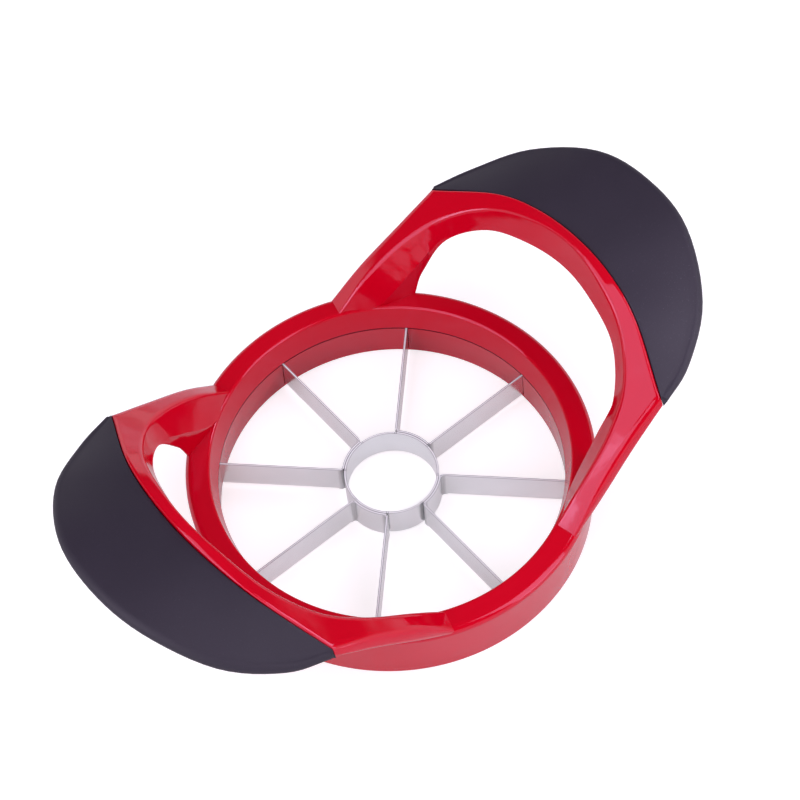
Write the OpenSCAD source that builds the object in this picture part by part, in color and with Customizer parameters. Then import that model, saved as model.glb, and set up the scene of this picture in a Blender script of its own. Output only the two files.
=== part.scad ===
// Push-down slicer that cores an apple and cuts it into wedges in one stroke.
// A short ring carries two arched handles with soft grips moulded over their outer halves.
// A retaining ring, pushed up into it from below, holds the ends of the V-shaped blade
// strips, which are welded to a round core cutter in the middle.
// Origin: centre of the ring at table level. +X runs out through a handle, +Z is up.

/* [Overall] */
// Length over both grips
overall_l = 180; // [174:1:190]
// Height of the handles' crest above the table
handle_h = 57.1; // [54:0.1:62]

/* [Ring] */
// Outer radius of the body ring at its widest
ring_r = 53.4; // [52.4:0.1:54.4]
// Height of the ring's rim above the table
ring_h = 18.6; // [17.6:0.1:19.6]
// Width of the ring from its rim to its outer wall
ring_w = 6.6; // [6.2:0.1:7]
// Lean of the throat wall between the rim and the parting line
throat_lean = 1.5; // [0.8:0.1:1.8]
// Height of the parting line where the retaining ring ends
split_h = 11.4; // [10.8:0.1:12]
// Draft of the outer wall from its widest place down to the table
outer_draft = 0.7; // [0.3:0.1:1]
// Wall of the skirt round the retaining ring
skirt_w = 2.9; // [2.5:0.1:3.2]

/* [Retaining ring] */
// Widening of the retaining ring's bore towards the table
bore_draft = 0.4; // [0.1:0.1:0.7]
// Walls of the moulding round its underside pockets
pocket_wall = 1.2; // [1:0.05:1.4]
// Thickness left above the pockets
pocket_roof = 2; // [1.4:0.1:3]
// Height of the snap bead above the table
snap_h = 4.2; // [3.6:0.1:6]
// How far the snap bead stands out
snap_out = 0.5; // [0.3:0.05:0.6]

/* [Blades] */
// Thickness of the steel
steel_t = 0.6; // [0.4:0.05:0.8]
// Height of the blades and of the core ring
blade_h = 9.4; // [8.6:0.1:9.8]
// Height of the ground cutting edge
edge_h = 1.3; // [0.8:0.1:2]
// Outer radius of the core ring
core_r = 12.45; // [11:0.05:14]
// Inner radius of the bend between a blade and its welded arc
bend_r = 0.7; // [0.5:0.1:1.2]
// Length of each blade inside its slot
tang_l = 2.6; // [1.8:0.1:2.8]

/* [Handles] */
// Angle from the X axis to where an arm leaves the ring
root_a = 67; // [65:0.5:69]
// Distance of a grip's corners from the middle along X
corner_x = 53.1; // [51:0.1:55]
// Distance of a grip's corners from the middle along Y
corner_y = 44; // [42:0.1:46]
// Height of a grip's corners above the table
corner_h = 43.2; // [41:0.1:45]
// Width of the arm's top face at a grip's corner
corner_w = 10; // [8.5:0.1:11.5]
// Height of the handle's inner wall at its middle
wall_h = 10.8; // [9.5:0.1:12]
// Height of the handle's inner wall at a grip's corner
corner_wall_h = 7.3; // [6.4:0.1:8.2]
// Lean of the handle's inner wall towards the opening
wall_lean = 1.4; // [0.6:0.1:2.2]
// Thickness of the handle at a grip's corner
corner_t = 3.45; // [3:0.05:4]
// Rounding of the crest
crest_round = 1.1; // [0.6:0.1:1.4]
// Rounding of the arms' outer edge
edge_round = 1.7; // [1:0.1:2]
// Rounding of the red edge beside a grip
seam_round = 1; // [0.5:0.1:1.3]
// Rounding of the lower edges
low_round = 1.2; // [0.6:0.1:1.5]

/* [Grips] */
// Width of a grip at its middle, out to its tip
grip_w = 25.6; // [23:0.1:28]
// Width of the red edge between the crest and the grip
edge_w = 3; // [2.4:0.1:4]
// Rise of the grip's tip above the crest
tip_rise = 1.5; // [0.5:0.1:2.5]
// Radius of the grip's round rim
rim_r = 2.2; // [1.9:0.05:2.5]
// Radius of the rim where it starts at a grip's corner
corner_rim_r = 1.4; // [1.2:0.05:1.6]
// Rise of the grip's top between the red edge and the rim
crown = 1; // [0.2:0.1:1.6]
// Swell of the grip's underside
belly = 0.6; // [0:0.1:1.2]
// Step from the red edge down to the soft surface
grip_step = 0.7; // [0.4:0.1:1]

/* [Hidden] */
$fn = 144;

red = [0.77, 0.02, 0.13];
soft_black = [0.21, 0.20, 0.23];
steel = [0.80, 0.79, 0.82];

// Clearances between the pieces, and the overrun of cuts
fit_gap = 0.12;
seat_gap = 0.3;
slot_gap = 0.1;
weld_gap = 0.02;
overrun = 1;

// Small roundings of the ring's section
rim_round = 0.9;
shoulder_round = 2;
foot_round = 0.7;
lead_in = 0.4;
// Fall of the ring's top face from its rim to its shoulder
shoulder_drop = 0.5;

// Number of V strips, each with two blades and a node of its own
strip_count = 4;

// Radii of the ring
rim_in_r = ring_r - ring_w;
throat_r = rim_in_r - throat_lean;
foot_r = ring_r - outer_draft;
pocket_r = foot_r - skirt_w;
mouth_r = throat_r + bore_draft;
shoulder_h = ring_h - shoulder_drop;

// Heights and reach of the blades
retainer_top = split_h - seat_gap;
blade_top = retainer_top - fit_gap;
blade_low = blade_top - blade_h;
tang_r = mouth_r + tang_l;

// Curves
function mix(a, b, s) = a + (b - a) * s;
function unit(v) = v / norm(v);
function flat(lists) = [for (one = lists) each one];
function reversed(list) = [for (i = [len(list) - 1 : -1 : 0]) list[i]];
function polar(r, a) = [r * cos(a), r * sin(a)];
function arc(centre, r, from, to, steps) =
    [for (i = [0 : steps]) centre + polar(r, mix(from, to, i / steps))];
function shares_of(a, b, shares) =
    [for (s = shares) [mix(a.x, b.x, s.x), mix(a.y, b.y, s.y), mix(a.z, b.z, s.z)]];

// Smooth curve through a row of points, with some steps between each two
function blend(a, b, c, d, t) =
    (2 * b + (c - a) * t + (2 * a - 5 * b + 4 * c - d) * t * t
    + (3 * b - a - 3 * c + d) * t * t * t) / 2;
function smooth(p, steps) = let (last = len(p) - 1)
    [for (i = [0 : last - 1], j = [0 : steps - 1])
        let (before = i > 0 ? p[i - 1] : 2 * p[0] - p[1],
            after = i < last - 1 ? p[i + 2] : 2 * p[last] - p[last - 1])
        blend(before, p[i], p[i + 1], after, j / steps),
    p[last]];

// Corner p between a and b, rounded by a short curve that starts up to r away from it, but
// takes up no more than a limiting share of either side
function rounded(a, p, b, r, limit_share, steps) =
    let (u = p + unit(a - p) * min(r, limit_share * norm(a - p)),
        v = p + unit(b - p) * min(r, limit_share * norm(b - p)))
    [for (i = [0 : steps]) let (t = i / steps) mix(mix(u, p, t), mix(p, v, t), t)];

// Handle rails. Each runs from the ring up one arm, round the handle's middle and down the
// other arm. It passes its root, its place at the grip's corner and its place at the middle,
// and two more points on each stretch, given as shares of that stretch along X, Y and Z.
steps = 4;
arm_n = 3 * steps;
bridge_n = 6 * steps;
function over_y(p) = [p.x, -p.y, p.z];
function rail(root, arm_shares, corner, bridge_shares, middle, sharp = false) =
    let (arm = concat([root], shares_of(root, corner, arm_shares), [corner]),
        side = concat([corner], shares_of(corner, middle, bridge_shares), [middle]),
        far_side = [for (i = [2 : -1 : 0]) over_y(side[i])],
        far_arm = [for (i = [2 : -1 : 0]) over_y(arm[i])],
        bridge = concat(side, far_side))
    sharp
        ? concat([for (i = [0 : arm_n - 1]) smooth(arm, steps)[i]], smooth(bridge, steps),
            [for (i = [1 : arm_n]) smooth(concat([over_y(corner)], far_arm), steps)[i]])
        : smooth(concat([for (i = [0 : 2]) arm[i]], bridge, far_arm), steps);

// Where the rails start, sunk a little into the ring
root_sink = 0.2;
root_depth = 3.6;
crest_in = 0.3;
edge_in = 0.3;
root_turn = 1;
function root(r, turn, sink) = concat(polar(r, root_a + turn), [ring_h - sink]);

// Where the rails pass the grip's corner and the handle's middle
grip_x = overall_l / 2 - grip_w;
corner_a = 67;
corner_lean = 2.7;
corner_lean_a = 59;
edge_drop = 0.6;
under_rise = 0.6;
corner_tilt_a = 22;
fold_share = 0.75;

edge_corner = [corner_x, corner_y, corner_h];
edge_middle = [grip_x, 0, handle_h - edge_drop];
crest_corner = edge_corner - concat(polar(corner_w, corner_a), [0]);
crest_middle = [grip_x - edge_w, 0, handle_h];
wall_corner = crest_corner - concat(polar(corner_lean, corner_lean_a), [corner_wall_h]);
wall_middle = crest_middle - [wall_lean, 0, wall_h];
under_corner = edge_corner + [0, corner_t * sin(corner_tilt_a), -corner_t * cos(corner_tilt_a)];
under_middle = [grip_x, 0, handle_h - wall_h + under_rise];

// Crest: the inner edge of the top face
crest = rail(root(rim_in_r + crest_in, 0, root_sink), [[0.33, 0.09, 0.40], [0.69, 0.38, 0.73]],
    crest_corner, [[0.60, 0.29, 0.51], [0.90, 0.66, 0.88]], crest_middle);
// Edge: the outer edge of the top face, along the grip on the bridge
edge = rail(root(ring_r - edge_in, root_turn, root_depth / 3),
    [[0.30, 0.36, 0.39], [0.67, 0.77, 0.74]],
    edge_corner, [[0.64, 0.39, 0.67], [0.91, 0.69, 0.93]], edge_middle, sharp = true);
// Under: the lower edge of the outer side
under = rail(root(ring_r - root_sink - shoulder_drop, root_turn, root_depth),
    [[0.32, 0.24, 0.36], [0.67, 0.67, 0.71]],
    under_corner, [[0.65, 0.40, 0.58], [0.92, 0.70, 0.90]], under_middle, sharp = true);
// Web: the middle of the underside
web = rail(root(ring_r - ring_w / 3, 0, root_depth + root_sink),
    [[0.33, 0.49, 0.04], [0.67, 0.81, 0.43]],
    mix(wall_corner, under_corner, 0.5), [[0.61, 0.34, 0.62], [0.89, 0.67, 0.94]],
    mix(wall_middle, under_middle, 0.5));
// Wall: the lower edge of the opening's wall
wall = rail(root(ring_r - ring_w * 3 / 4, 0, root_depth),
    [[0.59, 0.67, -0.10], [0.78, 0.78, 0.46]],
    wall_corner, [[0.57, 0.26, 0.64], [0.86, 0.63, 0.96]], wall_middle);
// Fold: where the leaning wall turns down into the web
fold = rail(root(rim_in_r + rim_round, 0, root_depth / 2),
    [[0.31, 0.52, 0.11], [0.70, 0.78, 0.60]],
    mix(crest_corner, wall_corner, fold_share), [[0.58, 0.27, 0.64], [0.87, 0.64, 0.94]],
    mix(crest_middle, wall_middle, fold_share));

// Tongue: the middle layer that the grip is moulded over. It grows from nothing at the
// corners to its full reach, as a share of the way from the edge to the grip's rim.
tongue_reach_share = 0.62;
tongue_top_share = 0.36;
tongue_low_share = 0.64;
plain_top_share = 0.48;
plain_low_share = 0.63;
tongue_taper_share = 0.8;
tongue_growth = 1.6;
function tongue_amount(i) =
    sin(90 * min(1, tongue_growth * (1 - abs(i - bridge_n / 2) / (bridge_n / 2))));

// Rim: the centre line of the grip's round outer edge, at the stations of the bridge
rim_steps = bridge_n / 8;
rim_start_shares = [0.6, -0.55, -0.2];
rim_shares = [[0.31, 0.09, 0.11], [0.67, 0.29, 0.48], [0.93, 0.64, 0.91]];
rim_corner = mix(edge_corner, under_corner, 0.5) + corner_rim_r * rim_start_shares;
rim_middle = [overall_l / 2 - rim_r, 0, handle_h + tip_rise - rim_r];
rim_half = concat([rim_corner], shares_of(rim_corner, rim_middle, rim_shares));
rim = smooth(concat(rim_half, [rim_middle],
    [for (i = [3 : -1 : 0]) over_y(rim_half[i])]), rim_steps);

// The tongue's four corners at station i of the bridge, grown by a gap
function tongue(i, gap) =
    let (grow = tongue_amount(i), e = edge[arm_n + i], u = under[arm_n + i],
        down = unit(u - e), tip = mix(mix(e, u, 0.5), rim[i], tongue_reach_share * grow),
        top = mix(e, u, mix(plain_top_share, tongue_top_share, grow)),
        low = mix(e, u, mix(plain_low_share, tongue_low_share, grow)),
        tip_half = (low - top) * tongue_taper_share / 2,
        out = gap > 0 ? gap * unit(rim[i] - mix(e, u, 0.5)) : [0, 0, 0])
    [top - down * gap, tip - tip_half - down * gap + out,
        tip + tip_half + down * gap + out, low + down * gap];

// One section of the red handle, round from its crest
top_limit_share = 0.45;
low_limit_share = 0.35;
wall_limit_share = 0.4;
function on_bridge(i) = i >= arm_n && i <= arm_n + bridge_n;
function side_points(i) = on_bridge(i) ? tongue(i - arm_n, 0)
    : [for (s = [0, 1 / 3, 2 / 3, 1])
        mix(edge[i], under[i], mix(plain_top_share, plain_low_share, s))];
function edge_radius(i) =
    on_bridge(i) ? mix(edge_round, seam_round, tongue_amount(i - arm_n)) : edge_round;
function handle_section(i) = flat([
    rounded(fold[i], crest[i], edge[i], crest_round, top_limit_share, 4),
    rounded(crest[i], edge[i], under[i], edge_radius(i), top_limit_share, 4),
    side_points(i),
    rounded(edge[i], under[i], web[i], low_round, low_limit_share, 3),
    [web[i]],
    rounded(web[i], wall[i], fold[i], low_round, wall_limit_share, 3),
    [fold[i]]]);

// Solid through a row of sections that all have the same number of points. The seams of its
// faces are mirrored about the middle section, and turned the other way when asked, so that
// a slot follows what it goes round.
module loft(sections, turned_seams = false) {
    n = len(sections[0]);
    last = len(sections) - 1;
    function middle_of(s) = [for (k = [0 : 2]) [for (p = s) p[k]] * [for (p = s) 1] / len(s)];
    sides = [for (i = [0 : last - 1], j = [0 : n - 1])
        let (a = i * n + j, b = i * n + (j + 1) % n, first_half = i < last / 2)
        each (first_half != turned_seams ? [[a, b, b + n], [a, b + n, a + n]]
            : [[a, b, a + n], [b, b + n, a + n]])];
    ends = [for (j = [0 : n - 1]) let (k = (j + 1) % n)
        each [[k, j, (last + 1) * n], [last * n + j, last * n + k, (last + 1) * n + 1]]];
    polyhedron(concat(flat(sections), [middle_of(sections[0]), middle_of(sections[last])]),
        concat(sides, ends));
}

module handle() {
    loft([for (i = [0 : 2 * arm_n + bridge_n]) handle_section(i)]);
}

// Section of the body ring: rounded rim, sloping top, shoulder, drafted outer wall, foot,
// pocket for the retaining ring with its snap groove, ledge and leaning throat
function ring_section() = concat(
    arc([rim_in_r + rim_round, ring_h - rim_round], rim_round, 180, 90, 6),
    arc([ring_r - shoulder_round, shoulder_h - shoulder_round], shoulder_round, 85, 0, 8),
    arc([foot_r - foot_round, foot_round], foot_round, 0, -90, 5),
    [[pocket_r + lead_in, 0], [pocket_r, lead_in]],
    [[pocket_r, snap_h - snap_out - fit_gap], [pocket_r + snap_out, snap_h - fit_gap],
        [pocket_r + snap_out, snap_h + fit_gap], [pocket_r, snap_h + snap_out + fit_gap]],
    [[pocket_r, split_h], [throat_r, split_h]]);

module body_frame() {
    color(red) union() {
        rotate_extrude() polygon(ring_section());
        handle();
        mirror([1, 0, 0]) handle();
    }
}

// Section of a grip: over the top, round the rim, back underneath, and round the tongue
function plan_out(i) =
    let (a = rim[max(0, i - 1)], b = rim[min(bridge_n, i + 1)], t = unit(b - a))
    unit([-t.y, t.x, 0]);
function face_out(i) =
    let (a = edge[arm_n + max(0, i - 1)], b = edge[arm_n + min(bridge_n, i + 1)], t = unit(b - a))
    unit([-t.y, t.x, 0]);
function along_rim(i) = unit(rim[min(bridge_n, i + 1)] - rim[max(0, i - 1)]);
crown_stop_shares = [0.12, 0.35, 0.7];
corner_step_share = 0.5;
function grip_section(i) =
    let (e = edge[arm_n + i], u = under[arm_n + i], down = unit(u - e),
        out = plan_out(i), up = cross(along_rim(i), out), shift = fit_gap * face_out(i),
        s = abs(i - bridge_n / 2) / (bridge_n / 2),
        r = mix(rim_r, corner_rim_r, s * s * s),
        start = e + down * grip_step * mix(1, corner_step_share, s * s) + shift,
        finish = u + shift,
        top = rim[i] + r * up, low = rim[i] - r * up,
        swell = 4 * norm(top - start) / norm(rim_middle - edge_middle),
        slot = tongue(i, fit_gap))
    concat([start],
        [for (t = crown_stop_shares) mix(start, top, t) + [0, 0, crown * swell * t * (1 - t)]],
        [for (k = [0 : 8]) rim[i] + r * (out * sin(180 * k / 8) + up * cos(180 * k / 8))],
        [for (t = reversed(crown_stop_shares))
            mix(finish, low, t) - [0, 0, belly * swell * t * (1 - t)]],
        [finish],
        [for (p = reversed(slot)) p + shift]);

module grip() {
    color(soft_black) loft([for (i = [0 : bridge_n]) grip_section(i)], turned_seams = true);
}
module grip_right() grip();
module grip_left() mirror([1, 0, 0]) grip();

// Section of the retaining ring: drafted bore, flat top under the ledge, snap bead, lead-in
retainer_r = pocket_r - fit_gap;
function retainer_section() = [
    [mouth_r + lead_in, 0], [mouth_r, lead_in], [throat_r, retainer_top],
    [retainer_r, retainer_top],
    [retainer_r, snap_h + snap_out], [retainer_r + snap_out, snap_h],
    [retainer_r, snap_h - snap_out], [retainer_r, lead_in], [retainer_r - lead_in, 0]];

// Pockets cored out of its underside, one on each side of every slot
blade_count = 2 * strip_count;
pitch_a = 360 / blade_count;
pocket_in_r = mouth_r + pocket_wall;
pocket_out_r = retainer_r - pocket_wall;
rib_w = steel_t + 2 * slot_gap + 2 * pocket_wall;
rib_a = asin(rib_w / 2 / pocket_in_r);
mid_rib_a = asin(pocket_wall / 2 / pocket_in_r);
module underside_pockets() {
    for (i = [0 : blade_count - 1], from = [rib_a, pitch_a / 2 + mid_rib_a])
        rotate([0, 0, i * pitch_a + from]) translate([0, 0, -overrun])
            rotate_extrude(angle = pitch_a / 2 - rib_a - mid_rib_a)
                translate([pocket_in_r, 0])
                    square([pocket_out_r - pocket_in_r, retainer_top - pocket_roof + overrun]);
}

// Slot for a blade's end, open at the top and into the bore
module blade_slot() {
    slot_w = steel_t + 2 * slot_gap;
    translate([throat_r - overrun, -slot_w / 2, blade_low - seat_gap])
        cube([tang_r + seat_gap - throat_r + overrun, slot_w, blade_h + fit_gap + overrun]);
}

module blade_ring() {
    color(red) difference() {
        rotate_extrude() polygon(retainer_section());
        underside_pockets();
        for (i = [0 : blade_count - 1]) rotate([0, 0, i * pitch_a]) blade_slot();
    }
}

// Core cutter: a closed band, ground sharp from the inside
edge_land_share = 0.15;
module core_ring() {
    in_r = core_r - steel_t;
    color(steel) rotate_extrude() polygon([
        [core_r, blade_low], [core_r, blade_top], [in_r, blade_top],
        [in_r, blade_low + edge_h], [core_r - steel_t * edge_land_share, blade_low]]);
}

// Outline of a V strip: in along one blade, round the bend, along the core cutter, round
// the second bend and out along the other blade. Side is 1 for the strip's face inside the
// V and -1 for its face outside.
strip_r = core_r + weld_gap + steel_t / 2;
bend_mid_r = bend_r + steel_t / 2;
bend_off_a = asin(bend_mid_r / (strip_r + bend_mid_r));
function turned(p, a) = [p.x * cos(a) - p.y * sin(a), p.x * sin(a) + p.y * cos(a)];
function mirrored(p, a) = turned([turned(p, -a).x, -turned(p, -a).y], a);
function strip_side(side) =
    let (half = side * steel_t / 2, centre = polar(strip_r + bend_mid_r, bend_off_a),
        first = concat([[tang_r, half]],
            arc(centre, bend_mid_r - half, 270, 180 + bend_off_a, 6)),
        weld = arc([0, 0], strip_r + half, bend_off_a, pitch_a - bend_off_a, 12))
    concat(first, [for (i = [1 : 11]) weld[i]],
        reversed([for (p = first) mirrored(p, pitch_a / 2)]));

// Bevels that grind a blade's lower edge sharp, along both faces of its straight part
bevel_from_r = strip_r + bend_mid_r + bend_r;
bevel_lean = steel_t * (1 - edge_land_share) / 2 / edge_h;
module blade_bevels() {
    land = steel_t * edge_land_share;
    for (a = [0, pitch_a], flip = [0, 1]) rotate([0, 0, a]) mirror([0, flip, 0])
        translate([bevel_from_r, 0, blade_low]) rotate([90, 0, 90])
            linear_extrude(tang_r - bevel_from_r + overrun)
                polygon([for (z = [-overrun, edge_h + overrun]) [land / 2 + z * bevel_lean, z],
                    [steel_t + overrun, edge_h + overrun], [steel_t + overrun, -overrun]]);
}
module blade_strip(index) {
    color(steel) rotate([0, 0, index * 2 * pitch_a]) difference() {
        translate([0, 0, blade_low]) linear_extrude(blade_h)
            polygon(concat(strip_side(1), reversed(strip_side(-1))));
        blade_bevels();
    }
}
module blade_strip_1() blade_strip(0);
module blade_strip_2() blade_strip(1);
module blade_strip_3() blade_strip(2);
module blade_strip_4() blade_strip(3);

body_frame();
grip_left();
grip_right();
blade_ring();
core_ring();
blade_strip_1();
blade_strip_2();
blade_strip_3();
blade_strip_4();
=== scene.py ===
from math import cos, pi, radians, sin

import bmesh
import bpy
from mathutils import Matrix, Vector


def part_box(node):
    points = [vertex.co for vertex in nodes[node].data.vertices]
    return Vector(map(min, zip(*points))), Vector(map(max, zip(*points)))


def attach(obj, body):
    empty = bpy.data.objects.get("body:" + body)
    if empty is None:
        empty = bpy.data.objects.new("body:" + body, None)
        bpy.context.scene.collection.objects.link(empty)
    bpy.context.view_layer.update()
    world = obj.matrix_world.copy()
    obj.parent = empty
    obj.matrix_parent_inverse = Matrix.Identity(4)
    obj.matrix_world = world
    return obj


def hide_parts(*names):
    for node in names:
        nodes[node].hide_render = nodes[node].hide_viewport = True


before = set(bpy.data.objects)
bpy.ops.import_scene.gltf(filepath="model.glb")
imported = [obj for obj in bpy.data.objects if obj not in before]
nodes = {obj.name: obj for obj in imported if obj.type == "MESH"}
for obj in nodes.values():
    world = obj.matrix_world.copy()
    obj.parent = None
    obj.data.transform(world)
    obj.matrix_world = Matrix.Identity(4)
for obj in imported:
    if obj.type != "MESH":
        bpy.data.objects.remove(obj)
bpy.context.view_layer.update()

bpy.ops.object.select_all(action="DESELECT")

# Body ring. A short red ABS ring, injection moulded, with a rounded rim, a throat that leans
# in to the parting line, a drafted outer wall and a skirt that hides the retaining ring. As
# everywhere here, sizes are in metres and angles in degrees.
ring_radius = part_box("body_frame")[1].y
ring_height = 0.0186
ring_width = 0.0066
throat_lean = 0.0015
split_height = 0.0114
outer_draft = 0.0007
skirt_wall = 0.0029
rim_rounding = 0.0009
shoulder_rounding = 0.002
shoulder_drop = 0.0005
shoulder_slope = 5
foot_rounding = 0.0007
skirt_lead_in = 0.0004
rim_radius = ring_radius - ring_width
throat_radius = rim_radius - throat_lean
foot_radius = ring_radius - outer_draft
pocket_radius = foot_radius - skirt_wall
shoulder_height = ring_height - shoulder_drop
rim_steps = 8
shoulder_steps = 12
foot_steps = 6
ring_turns = 240
merge_distance = 0.000001


def arc(centre, radius, start, end, steps):
    """Points of an arc in a section drawn as (distance from the axis, height)."""
    turn = [radians(start + (end - start) * i / steps) for i in range(steps + 1)]
    return [(centre[0] + radius * cos(a), centre[1] + radius * sin(a)) for a in turn]


def lathe(name, section, turns):
    """Spins a closed section round the Z axis, from a ring of points bent to that section."""
    bpy.ops.mesh.primitive_circle_add(vertices=len(section), radius=ring_width)
    piece = bpy.context.object
    piece.name = name
    bpy.ops.object.mode_set(mode="EDIT")
    shape = bmesh.from_edit_mesh(piece.data)
    shape.verts.ensure_lookup_table()
    for vertex, (distance, height) in zip(shape.verts, section):
        vertex.co = (distance, 0, height)
    bmesh.update_edit_mesh(piece.data)
    bpy.ops.mesh.select_all(action="SELECT")
    bpy.ops.mesh.spin(steps=turns, angle=2 * pi, center=(0, 0, 0), axis=(0, 0, 1))
    bpy.ops.mesh.select_all(action="SELECT")
    bpy.ops.mesh.remove_doubles(threshold=merge_distance)
    bpy.ops.mesh.normals_make_consistent(inside=False)
    bpy.ops.object.mode_set(mode="OBJECT")
    return piece


rim_centre = (rim_radius + rim_rounding, ring_height - rim_rounding)
shoulder_centre = (ring_radius - shoulder_rounding, shoulder_height - shoulder_rounding)
foot_centre = (foot_radius - foot_rounding, foot_rounding)
ring_section = (
    arc(rim_centre, rim_rounding, 180, 90, rim_steps)
    + arc(shoulder_centre, shoulder_rounding, 90 - shoulder_slope, 0, shoulder_steps)
    + arc(foot_centre, foot_rounding, 0, -90, foot_steps)
    + [(pocket_radius + skirt_lead_in, 0), (pocket_radius, skirt_lead_in)]
    + [(pocket_radius, split_height), (throat_radius, split_height)]
)
body = lathe("body_frame_shell", ring_section, ring_turns)

# Handles. Two arches of the same red moulding, drawn as sections along rails that run from
# the ring's rim up one arm, round the middle and down the other arm. The crest is the crisp
# inner edge, the edge lies along the grip, and the fold and web make the gusset at the root.
grip_width = 0.0256
edge_width = 0.003
crest_height = 0.0571
wall_height = 0.0108
corner_wall_height = 0.0073
wall_lean = 0.0014
root_angle = 67
root_turn = 1
root_sink = 0.0002
root_depth = 0.0036
root_in = 0.0003
edge_corner = Vector((0.0531, 0.044, 0.0432))
corner_width = 0.010
corner_lean = 0.0027
corner_lean_angle = 59
corner_thickness = 0.00345
corner_tilt = 22
edge_drop = 0.0006
under_rise = 0.0006
fold_share = 0.75
crest_rounding = 0.0011
edge_rounding = 0.0017
seam_rounding = 0.001
low_rounding = 0.0012
rounding_limit_share = 0.45
low_limit_share = 0.35
wall_limit_share = 0.4
crest_steps = 6
edge_steps = 8
low_steps = 5
wall_steps = 6
side_points = 4
rail_steps = 8
arm_stations = 3 * rail_steps
bridge_stations = 6 * rail_steps
tip_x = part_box("grip_right")[1].x
body_smooth_angle = 30


def over_y(p):
    """The matching place on the other half of a handle."""
    return Vector((p.x, -p.y, p.z))


def polar(radius, angle, height=0.0):
    """A place given by its distance from the tool's axis, its angle and its height."""
    return Vector((radius * cos(radians(angle)), radius * sin(radians(angle)), height))


def stretch(start, end, shares):
    """Points between start and end, each a share of the way along X, Y and Z."""
    return [Vector([a + (b - a) * s for a, b, s in zip(start, end, share)]) for share in shares]


def curve(points, steps):
    """Smooth curve through a row of points, with some steps between each two."""
    row = [2 * points[0] - points[1]] + points + [2 * points[-1] - points[-2]]
    path = []
    for a, b, c, d in zip(row, row[1:], row[2:], row[3:]):
        for t in [i / steps for i in range(steps)]:
            path.append((2 * b + (c - a) * t + (2 * a - 5 * b + 4 * c - d) * t ** 2
                         + (3 * b - a - 3 * c + d) * t ** 3) / 2)
    return path + [points[-1]]


def rail(start, arm_shares, corner, bridge_shares, middle, sharp=False):
    """One rail of a handle, from its start on the ring past the grip's corner to the middle,
    and the same way down again. The shares place its points between these, and a sharp rail
    turns at the corner without rounding it."""
    arm = [start] + stretch(start, corner, arm_shares)
    side = [corner] + stretch(corner, middle, bridge_shares)
    bridge = side + [middle] + [over_y(p) for p in reversed(side)]
    far_arm = [over_y(p) for p in reversed(arm)]
    if not sharp:
        return curve(arm + bridge + far_arm, rail_steps)
    near = curve(arm + [corner], rail_steps)
    far = curve([over_y(corner)] + far_arm, rail_steps)
    return near[:-1] + curve(bridge, rail_steps) + far[1:]


def rounded(before, corner, after, radius, limit_share, steps):
    """A corner of a section, rounded by a short curve that starts up to radius away, and no
    further than a share of the way to the points before and after it."""
    a = corner.lerp(before, min(radius / (before - corner).length, limit_share))
    b = corner.lerp(after, min(radius / (after - corner).length, limit_share))
    turn = [i / steps for i in range(steps + 1)]
    return [a.lerp(corner, t).lerp(corner.lerp(b, t), t) for t in turn]


def root_place(radius, turn, sink):
    """Where a rail starts on the ring, turned a little on and sunk under the rim."""
    return polar(radius, root_angle + turn, ring_height - sink)


grip_x = tip_x - grip_width
edge_middle = Vector((grip_x, 0, crest_height - edge_drop))
crest_corner = edge_corner - polar(corner_width, root_angle)
crest_middle = Vector((grip_x - edge_width, 0, crest_height))
wall_corner = crest_corner - polar(corner_lean, corner_lean_angle, corner_wall_height)
wall_middle = crest_middle - Vector((wall_lean, 0, wall_height))
tilt = Vector((0, sin(radians(corner_tilt)), -cos(radians(corner_tilt))))
under_corner = edge_corner + corner_thickness * tilt
under_middle = Vector((grip_x, 0, crest_height - wall_height + under_rise))

crest = rail(
    root_place(rim_radius + root_in, 0, root_sink), [(0.33, 0.09, 0.40), (0.69, 0.38, 0.73)],
    crest_corner, [(0.60, 0.29, 0.51), (0.90, 0.66, 0.88)], crest_middle)
edge = rail(
    root_place(ring_radius - root_in, root_turn, root_depth / 3),
    [(0.30, 0.36, 0.39), (0.67, 0.77, 0.74)],
    edge_corner, [(0.64, 0.39, 0.67), (0.91, 0.69, 0.93)], edge_middle, sharp=True)
under = rail(
    root_place(ring_radius - root_sink - shoulder_drop, root_turn, root_depth),
    [(0.32, 0.24, 0.36), (0.67, 0.67, 0.71)],
    under_corner, [(0.65, 0.40, 0.58), (0.92, 0.70, 0.90)], under_middle, sharp=True)
web = rail(
    root_place(ring_radius - ring_width / 3, 0, root_depth + root_sink),
    [(0.33, 0.49, 0.04), (0.67, 0.81, 0.43)], wall_corner.lerp(under_corner, 0.5),
    [(0.61, 0.34, 0.62), (0.89, 0.67, 0.94)], wall_middle.lerp(under_middle, 0.5))
wall = rail(
    root_place(ring_radius - ring_width * 3 / 4, 0, root_depth),
    [(0.59, 0.67, -0.10), (0.78, 0.78, 0.46)],
    wall_corner, [(0.57, 0.26, 0.64), (0.86, 0.63, 0.96)], wall_middle)
fold = rail(
    root_place(rim_radius + rim_rounding, 0, root_depth / 2),
    [(0.31, 0.52, 0.11), (0.70, 0.78, 0.60)], crest_corner.lerp(wall_corner, fold_share),
    [(0.58, 0.27, 0.64), (0.87, 0.64, 0.94)], crest_middle.lerp(wall_middle, fold_share))

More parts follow.
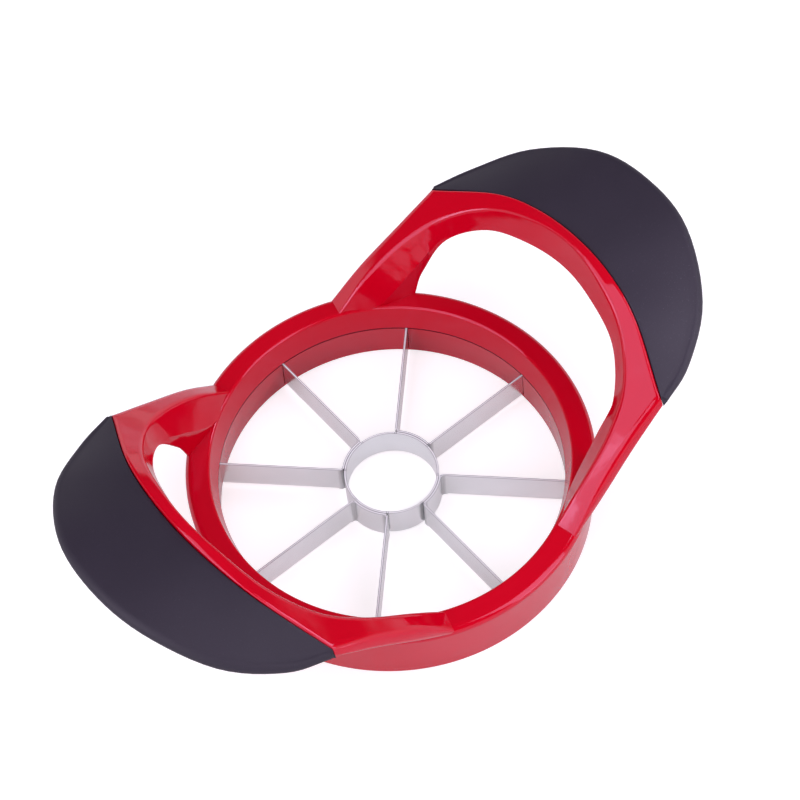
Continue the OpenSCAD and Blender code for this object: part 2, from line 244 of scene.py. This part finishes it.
# Tongue. A middle layer of the same moulding, which stands out of the handle's edge and is
# buried in the soft grip. It grows from nothing at the grip's corners to its full reach.
grip_rise = 0.0015
grip_rim = 0.0022
grip_corner_rim = 0.0014
grip_corner_way = Vector((0.6, -0.55, -0.2))
tongue_reach_share = 0.62
tongue_share = (0.36, 0.64)
plain_share = (0.48, 0.63)
tongue_taper_share = 0.8
tongue_growth = 1.6
rim_corner = edge_corner.lerp(under_corner, 0.5) + grip_corner_rim * grip_corner_way
rim_middle = Vector((tip_x - grip_rim, 0, crest_height + grip_rise - grip_rim))
rim_side = [rim_corner] + stretch(
    rim_corner, rim_middle, [(0.31, 0.09, 0.11), (0.67, 0.29, 0.48), (0.93, 0.64, 0.91)])
rim_points = rim_side + [rim_middle] + [over_y(p) for p in reversed(rim_side)]
rim = curve(rim_points, bridge_stations // (len(rim_points) - 1))
bridge_edge = edge[arm_stations:arm_stations + bridge_stations + 1]
bridge_under = under[arm_stations:arm_stations + bridge_stations + 1]


def tongue_amount(i):
    """How far the tongue has grown at station i of the bridge, from 0 to 1."""
    half = bridge_stations / 2
    return sin(pi / 2 * min(1, tongue_growth * (1 - abs(i - half) / half)))


def tongue(i, gap=0.0):
    """The tongue's four corners at station i of the bridge, grown by a gap."""
    grow = tongue_amount(i)
    top_edge = bridge_edge[i]
    low_edge = bridge_under[i]
    down = (low_edge - top_edge).normalized() * gap
    middle = top_edge.lerp(low_edge, 0.5)
    out = (rim[i] - middle).normalized() * gap
    tip = middle.lerp(rim[i], tongue_reach_share * grow)
    top, low = [top_edge.lerp(low_edge, a + (b - a) * grow)
                for a, b in zip(plain_share, tongue_share)]
    half = (low - top) * tongue_taper_share / 2
    return [top - down, tip - half - down + out, tip + half + down + out, low + down]


def handle_section(i):
    """One section of the handle at station i, round from its fold over the crest."""
    station = i - arm_stations
    if 0 <= station <= bridge_stations:
        amount = tongue_amount(station)
        side = tongue(station)
    else:
        amount = 0
        first, last = plain_share
        side = [edge[i].lerp(under[i], first + (last - first) * s / (side_points - 1))
                for s in range(side_points)]
    radius = edge_rounding + (seam_rounding - edge_rounding) * amount
    return (
        rounded(fold[i], crest[i], edge[i], crest_rounding, rounding_limit_share, crest_steps)
        + rounded(crest[i], edge[i], under[i], radius, rounding_limit_share, edge_steps)
        + side
        + rounded(edge[i], under[i], web[i], low_rounding, low_limit_share, low_steps)
        + [web[i]]
        + rounded(web[i], wall[i], fold[i], low_rounding, wall_limit_share, wall_steps)
        + [fold[i]]
    )


def loft(name, sections):
    """Extrudes a face from one section to the next, all with the same number of points."""
    count = len(sections[0])
    bpy.ops.mesh.primitive_circle_add(vertices=count, radius=ring_width, fill_type="NGON")
    piece = bpy.context.object
    piece.name = name
    bpy.ops.object.mode_set(mode="EDIT")
    shape = bmesh.from_edit_mesh(piece.data)
    order = shape.verts.layers.int.new("order")
    for n, vertex in enumerate(shape.verts):
        vertex[order] = n
    for i, section in enumerate(sections):
        if i:
            bpy.ops.mesh.extrude_region_move()
        shape = bmesh.from_edit_mesh(piece.data)
        order = shape.verts.layers.int["order"]
        loop = sorted((v for v in shape.verts if v.select), key=lambda v: v[order])
        for vertex, point in zip(loop, section):
            vertex.co = point
    shape.verts.layers.int.remove(order)
    bmesh.update_edit_mesh(piece.data)
    bpy.ops.mesh.select_all(action="SELECT")
    bpy.ops.mesh.normals_make_consistent(inside=False)
    bpy.ops.object.mode_set(mode="OBJECT")
    return piece


def mirrored(piece, name):
    """A copy of a piece for the other side of the tool, with its own mesh."""
    bpy.ops.object.select_all(action="DESELECT")
    piece.select_set(True)
    bpy.context.view_layer.objects.active = piece
    bpy.ops.object.duplicate(linked=False)
    copy = bpy.context.object
    copy.name = name
    bpy.ops.object.mode_set(mode="EDIT")
    bpy.ops.mesh.select_all(action="SELECT")
    bpy.ops.transform.mirror(constraint_axis=(True, False, False), orient_type="GLOBAL",
                             center_override=(0, 0, 0))
    bpy.ops.mesh.normals_make_consistent(inside=False)
    bpy.ops.object.mode_set(mode="OBJECT")
    return copy


def apply_modifier(piece, kind, **settings):
    """Adds a modifier with these settings and applies it."""
    bpy.ops.object.select_all(action="DESELECT")
    piece.select_set(True)
    bpy.context.view_layer.objects.active = piece
    modifier = piece.modifiers.new(kind.lower(), kind)
    for name, value in settings.items():
        setattr(modifier, name, value)
    bpy.ops.object.modifier_apply(modifier=modifier.name)


def smooth_surface(piece, angle):
    """Smooth shading that keeps edges sharper than the angle, and keeps flats flat."""
    bpy.ops.object.select_all(action="DESELECT")
    piece.select_set(True)
    bpy.context.view_layer.objects.active = piece
    bpy.ops.object.shade_smooth_by_angle(angle=radians(angle))
    apply_modifier(piece, "WEIGHTED_NORMAL", keep_sharp=True)


right_handle = loft("handle_right", [handle_section(i) for i in range(len(crest))])
left_handle = mirrored(right_handle, "handle_left")
for handle in (right_handle, left_handle):
    apply_modifier(body, "BOOLEAN", object=handle, operation="UNION", solver="EXACT")
    bpy.data.objects.remove(handle)
smooth_surface(body, body_smooth_angle)
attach(body, "root")
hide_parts("body_frame")

# Finish of the red moulding. Saturated opaque ABS from a polished mould, with a faint
# unevenness that softens its reflections, and roughness that varies as handling leaves it.
# The parting line round the throat is painted shade, a fine dark line for the gap between the
# two mouldings.
red = (0.61, 0.0, 0.014, 1)
deep_red = (0.55, 0.0, 0.010, 1)
# Painted shade: the dark red of the parting line's shadow.
parting_shadow_red = (0.16, 0.0, 0.008, 1)
gloss_tint = (1.0, 0.72, 1.0, 1)
abs_ior = 1.54
deep_share = 0.4
parting_shade = 0.85
parting_width = 0.0005
parting_radius = throat_radius + parting_width
polish_roughness = 0.05
handling_roughness = 0.07
flow_size = 0.026
handling_size = 0.0062
ripple_size = 0.0024
ripple_share = 0.12
wave_size = 0.0091
wave_depth = 0.00016


class Wire:
    """A socket in a material. Arithmetic on it adds Math nodes to the same material."""

    def __init__(self, tree, socket=None):
        self.tree = tree
        self.socket = socket

    def node(self, kind, settings, sockets, output=0):
        """Adds a node: first its settings, then the values or links of its sockets."""
        new = self.tree.nodes.new(kind)
        for name, value in settings.items():
            setattr(new, name, value)
        for name, value in sockets.items():
            if isinstance(value, Wire):
                self.tree.links.new(value.socket, new.inputs[name])
            else:
                new.inputs[name].default_value = value
        return Wire(self.tree, new.outputs[output] if new.outputs else None)

    def math(self, operation, a, b):
        """A Math node of two values, of which either may be a number."""
        return self.node("ShaderNodeMath", {"operation": operation}, {0: a, 1: b})

    def __add__(self, other):
        return self.math("ADD", self, other)

    def __radd__(self, other):
        return self.math("ADD", other, self)

    def __sub__(self, other):
        return self.math("SUBTRACT", self, other)

    def __rsub__(self, other):
        return self.math("SUBTRACT", other, self)

    def __mul__(self, other):
        return self.math("MULTIPLY", self, other)

    def __rmul__(self, other):
        return self.math("MULTIPLY", other, self)

    def apply(self, operation, other=0.0):
        """This value through another Math node, with a second value where it takes one."""
        return self.math(operation, self, other)

    def along(self, axis):
        """This vector's part along X, Y or Z."""
        return self.node("ShaderNodeSeparateXYZ", {}, {0: self}, output=axis)

    def off_axis(self):
        """How far this place lies from the tool's upright axis."""
        x = self.along("X")
        y = self.along("Y")
        return (x * x + y * y).apply("SQRT")

    def band(self, middle, width):
        """1 where this value is within half a width of the middle, and 0 elsewhere."""
        return (self - middle).apply("ABSOLUTE").apply("LESS_THAN", width / 2)

    def fading(self, reach):
        """1 where this distance is nothing, and less with distance, to 0 at the reach."""
        return (1 - self * (1 / reach)).apply("MAXIMUM", 0)

    def eased(self, start, end, first=0.0, last=1.0):
        """A smooth change from first to last while this value goes from start to end."""
        return self.node("ShaderNodeMapRange", {"interpolation_type": "SMOOTHSTEP"}, {
            "Value": self, "From Min": start, "From Max": end, "To Min": first, "To Max": last})

    def noise(self, size, detail=2.0, roughness=0.5):
        """Noise from about 0 to 1 on this vector, with cells of this size in metres."""
        return self.node("ShaderNodeTexNoise", {}, {
            "Vector": self, "Scale": 1 / size, "Detail": detail, "Roughness": roughness})

    def mixed(self, first, second):
        """A colour between two colours, by this value."""
        return self.node("ShaderNodeMix", {"data_type": "RGBA"}, {0: self, 6: first, 7: second},
                         output=2)

    def bump(self, depth, strength=1.0):
        """A normal from this height, whose full range is so many metres deep."""
        return self.node("ShaderNodeBump", {}, {
            "Height": self, "Distance": depth, "Strength": strength})


def new_material(name):
    """An empty material and the place of each point on the piece, in metres."""
    material = bpy.data.materials.new(name)
    material.use_nodes = True
    material.node_tree.nodes.clear()
    place = Wire(material.node_tree).node("ShaderNodeTexCoord", {}, {}, output="Object")
    return material, place


def finish(place, sockets):
    """Ends the material that this place belongs to in a Principled shader."""
    surface = place.node("ShaderNodeBsdfPrincipled", {}, sockets)
    place.node("ShaderNodeOutputMaterial", {"target": "ALL"}, {"Surface": surface})


def paint(piece, material):
    """Gives the whole piece this one material."""
    piece.data.materials.clear()
    piece.data.materials.append(material)


red_plastic, place = new_material("red_abs")
flow = place.noise(flow_size, detail=3)
handling = place.noise(handling_size, detail=4, roughness=0.6)
ripple = place.noise(ripple_size, detail=1)
wave = place.noise(wave_size, detail=1)
# Painted shade: a thin dark line at the parting height inside the throat, where the gap lies in
# shadow.
at_parting = place.along("Z").band(split_height - parting_width / 4, parting_width)
painted_parting_shadow = at_parting * place.off_axis().apply("LESS_THAN", parting_radius)
moulded = (deep_share + (1 - deep_share) * flow).mixed(red, deep_red)
finish(place, {
    "Base Color": (parting_shade * painted_parting_shadow).mixed(moulded, parting_shadow_red),
    "Roughness": polish_roughness + handling_roughness * handling,
    "IOR": abs_ior,
    "Specular Tint": gloss_tint,
    "Normal": (ripple_share * ripple + wave).bump(wave_depth)})
paint(body, red_plastic)

# Retaining ring. A second red ABS ring with slots for the blades, snapped up into the skirt
# from below. It shows in the throat under the parting line, and keeps its CAD surfaces.
paint(nodes["blade_ring"], red_plastic)

# Soft grips. Charcoal thermoplastic rubber moulded over the outer half of each handle and
# round its tongue, crowned on top, with a round rim and a small step at the red edge. One end
# of the right grip is paler, from palm wear and from a painted highlight, and fine dust clings
# there.
grip_step = 0.0007
grip_corner_step_share = 0.5
grip_crown = 0.0007
grip_belly = 0.0006
grip_gap = 0.00012
grip_lip = 0.0006
grip_lip_limit_share = 0.4
crown_steps = 10
rim_turn_steps = 16
lip_steps = 3
grip_smooth_angle = 40


def square_out(rail_points, i):
    """The way out of the tool, level and square to a rail, at a point of the rail."""
    last = len(rail_points) - 1
    along = rail_points[min(last, i + 1)] - rail_points[max(0, i - 1)]
    return Vector((-along.y, along.x, 0)).normalized()


def grip_section(i):
    """Over the top from the red edge, round the rim, back below and round the tongue."""
    top_edge = bridge_edge[i]
    low_edge = bridge_under[i]
    shift = grip_gap * square_out(bridge_edge, i)
    out = square_out(rim, i)
    along = rim[min(bridge_stations, i + 1)] - rim[max(0, i - 1)]
    up = along.normalized().cross(out)
    half = bridge_stations / 2
    near_corner = abs(i - half) / half
    radius = grip_rim + (grip_corner_rim - grip_rim) * near_corner ** 3
    step = grip_step * (1 - (1 - grip_corner_step_share) * near_corner ** 2)
    start = top_edge + (low_edge - top_edge).normalized() * step + shift
    end = low_edge + shift
    top = rim[i] + radius * up
    low = rim[i] - radius * up
    swell = 4 * (top - start).length / (rim_middle - edge_middle).length
    slot = [p + shift for p in reversed(tongue(i, grip_gap))]
    spread = [t / crown_steps for t in range(1, crown_steps)]
    lift = [Vector((0, 0, swell * t * (1 - t))) for t in spread]
    over = [start.lerp(top, t) + grip_crown * rise for t, rise in zip(spread, lift)]
    turn = [pi * k / rim_turn_steps for k in range(rim_turn_steps + 1)]
    round_rim = [rim[i] + radius * (out * sin(a) + up * cos(a)) for a in turn]
    back = [low.lerp(end, t) - grip_belly * rise for t, rise in zip(spread, lift)]
    top_lip = rounded(slot[-1], start, over[0], grip_lip, grip_lip_limit_share, lip_steps)
    low_lip = rounded(back[-1], end, slot[0], grip_lip, grip_lip_limit_share, lip_steps)
    return top_lip + over + round_rim + back + low_lip + slot


right_grip = loft("grip_right_soft", [grip_section(i) for i in range(bridge_stations + 1)])
left_grip = mirrored(right_grip, "grip_left_soft")

soft_colour = (0.0155, 0.0105, 0.021, 1)
# A paler charcoal for wear, and for the painted highlight at the palm spot.
soft_worn_and_sheen = (0.031, 0.024, 0.040, 1)
soft_dust = (0.085, 0.072, 0.105, 1)
rubber_ior = 1.45
palm_sheen_place = (0.068, -0.036, 0.050)
palm_sheen_reach = 0.034
dust_size = 0.00042
dust_from = 0.62
dust_to = 0.74
dust_left_share = 0.15
patch_size = 0.0167
patch_wear = 0.35
dust_wear = 0.25
palm_wear_and_sheen = 0.6
rubber_roughness = 0.52
patch_roughness = 0.16
palm_shine = 0.12
grain_size = 0.00019
grain_depth = 0.00004
grain_strength = 0.6
soft_grip, place = new_material("soft_rubber")
dust = place.noise(dust_size, detail=3, roughness=0.7)
patch = place.noise(patch_size)
grain = place.noise(grain_size)
from_palm_sheen = place.node("ShaderNodeVectorMath", {"operation": "DISTANCE"},
                       {0: place, 1: palm_sheen_place}, output="Value")
# Wear and painted highlight: the right grip's near end is paler around this spot.
rubbed_and_sheen = from_palm_sheen.fading(palm_sheen_reach)
specks = dust.eased(dust_from, dust_to)
worn_and_sheen = patch_wear * patch + dust_wear * dust + palm_wear_and_sheen * rubbed_and_sheen
dusty = specks * (dust_left_share + (1 - dust_left_share) * rubbed_and_sheen)
finish(place, {
    "Base Color": dusty.mixed(worn_and_sheen.mixed(soft_colour, soft_worn_and_sheen), soft_dust),
    "Roughness": rubber_roughness + patch_roughness * patch - palm_shine * rubbed_and_sheen,
    "IOR": rubber_ior,
    "Normal": grain.bump(grain_depth, grain_strength)})
for piece, node in ((right_grip, "grip_right"), (left_grip, "grip_left")):
    smooth_surface(piece, grip_smooth_angle)
    paint(piece, soft_grip)
    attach(piece, "root")
    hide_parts(node)

# Blades and core cutter. Stainless strip, cold rolled, so that faint lines run along it,
# bent into four Vs that are spot-welded to the round core cutter. Its sheared edges are duller
# than its faces. Painted shade darkens thin lines along the sheared tops, the gap at the weld
# and the creases at the bends.
steel_light = (0.97, 0.98, 0.98, 1)
steel_dark = (0.88, 0.90, 0.90, 1)
steel_edge = (0.91, 0.92, 0.92, 1)
# Painted shade: the dark colour that the edge lines, weld gap and creases are darkened towards.
steel_shade_colour = (0.07, 0.075, 0.08, 1)
steel_thickness = 0.0006
core_radius = 0.01245
weld_gap = 0.00002
blade_count = 8
arc_outside = core_radius + weld_gap + steel_thickness
core_inside = core_radius - steel_thickness
line_length = 0.017
line_height = 0.00038
line_share = 0.35
line_depth_share = 0.012
cloud_size = 0.0045
bow_size = 0.0143
bow_depth = 0.0004
bow_strength = 0.6
steel_roughness = 0.12
line_roughness = 0.14
sheared_roughness = 0.25
sheared_facing = 0.7
sheared_share = 0.8
edge_shade_width = 0.00016
edge_shade_strength = 0.6
weld_shadow_width = 0.0002
weld_shadow_strength = 0.8
crease_shade_reach = 0.0012
crease_shade = 0.6
stainless, place = new_material("cold_rolled_stainless")
rolled = place.node("ShaderNodeMapping", {"vector_type": "POINT"}, {
    "Vector": place, "Scale": (1 / line_length, 1 / line_length, 1 / line_height)})
lines = rolled.noise(1, detail=3, roughness=0.6)
cloud = place.noise(cloud_size)
bow = place.noise(bow_size, detail=1)
facing = place.node("ShaderNodeNewGeometry", {}, {}, output="Normal")
sheared = facing.along("Z").apply("GREATER_THAN", sheared_facing)
from_axis = place.off_axis()
bearing = place.along("Y").apply("ARCTAN2", place.along("X"))
from_middle = from_axis * bearing.apply("PINGPONG", pi / blade_count).apply("SINE")
# Painted shade: thin dark lines along both sides of the sheared tops of the core and blades.
half_shade_line = edge_shade_width / 2
outer_edge_shade = from_axis.band(arc_outside - half_shade_line, edge_shade_width)
inner_edge_shade = from_axis.band(core_inside + half_shade_line, edge_shade_width)
blade_edge_shade = from_middle.band(steel_thickness / 2 - half_shade_line, edge_shade_width)
painted_edge_shade = sheared * (outer_edge_shade + inner_edge_shade + blade_edge_shade)
# Painted shadow: a dark line on the sheared tops at the gap between the strips and the core.
painted_weld_shadow = sheared * from_axis.band(core_radius + weld_gap / 2, weld_shadow_width)
# Painted shade: darker steel in the creases where the blades bend off the core.
from_arc = (from_axis - arc_outside).apply("MAXIMUM", 0)
from_blade = (from_middle - steel_thickness / 2).apply("MAXIMUM", 0)
past_core = from_axis.apply("GREATER_THAN", core_radius)
painted_crease_shade = from_arc.fading(crease_shade_reach) * from_blade.fading(crease_shade_reach) * past_core
# All painted shade on the steel together: edge lines, weld gap and creases.
painted_shade_amount = (weld_shadow_strength * painted_weld_shadow + edge_shade_strength * painted_edge_shade
        + crease_shade * painted_crease_shade * (1 - sheared))
face = (line_share * lines + (1 - line_share) * cloud).mixed(steel_dark, steel_light)
steel = (sheared_share * sheared).mixed(face, steel_edge)
finish(place, {
    "Base Color": painted_shade_amount.mixed(steel, steel_shade_colour),
    "Metallic": 1 - sheared_share * sheared,
    "Roughness": steel_roughness + line_roughness * lines + sheared_roughness * sheared,
    "Normal": (line_depth_share * lines + bow).bump(bow_depth, bow_strength)})
for name, node in nodes.items():
    if name.startswith("blade_strip") or name == "core_ring":
        paint(node, stainless)

# Stage. White paper under the tool, which keeps the tool's shadow. The camera and the tool's
# reflections see it lifted towards white, and the camera sees it plain white further away.
paper_size = 8
paper_colour = (0.6, 0.6, 0.6, 1)
paper_white = (1, 1, 1, 1)
paper_glow = 0.65
mirrored_glow = 0.23
lit_reach = 0.4
white_reach = 1.2
bpy.ops.mesh.primitive_plane_add(size=paper_size)
floor = bpy.context.object
floor.name = "floor"
white_paper, place = new_material("white_paper")
matte = place.node("ShaderNodeBsdfDiffuse", {}, {"Color": paper_colour})
white = place.node("ShaderNodeEmission", {}, {"Color": paper_white, "Strength": 1.0})
away = place.node("ShaderNodeVectorMath", {"operation": "LENGTH"}, {0: place}, output="Value")


def lifted(strength):
    """Paper that is a little brighter than its light makes it."""
    glow = place.node("ShaderNodeEmission", {}, {"Color": paper_white, "Strength": strength})
    return place.node("ShaderNodeAddShader", {}, {0: matte, 1: glow})


def ray(kind):
    """1 for rays of this kind, and 0 for all others."""
    return place.node("ShaderNodeLightPath", {}, {}, output=kind)


def either(factor, first, second):
    """The first shader where the factor is 0, and the second where it is 1."""
    return place.node("ShaderNodeMixShader", {}, {0: factor, 1: first, 2: second})


mirrored_ray = ray("Is Glossy Ray").apply("MAXIMUM", ray("Is Transmission Ray"))
seen = either(away.eased(lit_reach, white_reach), lifted(paper_glow), white)
unseen = either(mirrored_ray, matte, lifted(mirrored_glow))
paper = either(ray("Is Camera Ray"), unseen, seen)
place.node("ShaderNodeOutputMaterial", {"target": "ALL"}, {"Surface": paper})
paint(floor, white_paper)

# Studio. A room that is white up to a little over the horizon and dim above it, with softboxes
# that make the highlights on the red plastic. The low one at the side is only mirrored, and
# the wide one overhead only gives light.
room_white = (1, 1, 1, 1)
horizon_level = 1.0
room_level = 0.06
horizon_top = 9.5
dim_from = 17
lamp_colour = (1.0, 0.93, 1.1)
world = bpy.data.worlds.new("studio")
bpy.context.scene.world = world
world.use_nodes = True
world.node_tree.nodes.clear()
way = Wire(world.node_tree).node("ShaderNodeTexCoord", {}, {}, output="Generated")
level = way.along("Z").eased(
    sin(radians(horizon_top)), sin(radians(dim_from)), horizon_level, room_level)
sky = way.node("ShaderNodeBackground", {}, {"Color": room_white, "Strength": level})
way.node("ShaderNodeOutputWorld", {}, {"Surface": sky})


def softbox(name, azimuth, elevation, distance, width, height, radiance):
    """A softbox that faces the tool from a direction given by its angles."""
    data = bpy.data.lights.new(name, "AREA")
    data.shape = "RECTANGLE"
    data.color = lamp_colour
    data.size = width
    data.size_y = height
    data.energy = radiance * pi * width * height
    lamp = bpy.data.objects.new(name, data)
    bpy.context.scene.collection.objects.link(lamp)
    lamp.rotation_euler = (radians(90 - elevation), 0, radians(90 + azimuth))
    lamp.location = Matrix.Rotation(radians(azimuth), 3, "Z") @ Vector(
        (distance * cos(radians(elevation)), 0, distance * sin(radians(elevation))))
    return lamp


softbox("key", azimuth=-148, elevation=33, distance=1.5, width=1.1, height=1.1, radiance=2.1)
softbox("side", azimuth=172, elevation=48, distance=1.5, width=0.95, height=2.3, radiance=1.8)
side_low = softbox("side_low", azimuth=172, elevation=20, distance=1.45,
                   width=0.95, height=0.36, radiance=3.2)
softbox("front", azimuth=-63, elevation=31, distance=1.5, width=0.8, height=2.0, radiance=2.5)
softbox("low_fill", azimuth=-17, elevation=39, distance=1.5,
        width=0.42, height=0.58, radiance=5.6)
overhead = softbox("overhead", azimuth=40, elevation=62, distance=1.6,
                   width=1.8, height=1.8, radiance=0.78)
side_low.visible_diffuse = False
overhead.visible_glossy = False

# Camera. A long lens at the photograph's viewing angle. Its place and its ways to the right
# and up are worked out from the ellipses of the ring and the core cutter.
lens = 119.41
sensor_width = 36
nearest = 0.01
camera_place = Vector((-0.20742, -0.29393, 0.60374))
right_way = Vector((0.76462, -0.64272, -0.04740))
up_way = Vector((0.56109, 0.62774, 0.53942))
back_way = right_way.cross(up_way)
camera_data = bpy.data.cameras.new("camera")
camera_data.lens = lens
camera_data.sensor_width = sensor_width
camera_data.clip_start = nearest
camera = bpy.data.objects.new("camera", camera_data)
bpy.context.scene.collection.objects.link(camera)
camera.matrix_world = Matrix.Translation(camera_place) @ Matrix(
    (right_way, up_way, back_way)).transposed().to_4x4()
bpy.context.scene.camera = camera
bpy.context.scene.view_settings.view_transform = "Standard"
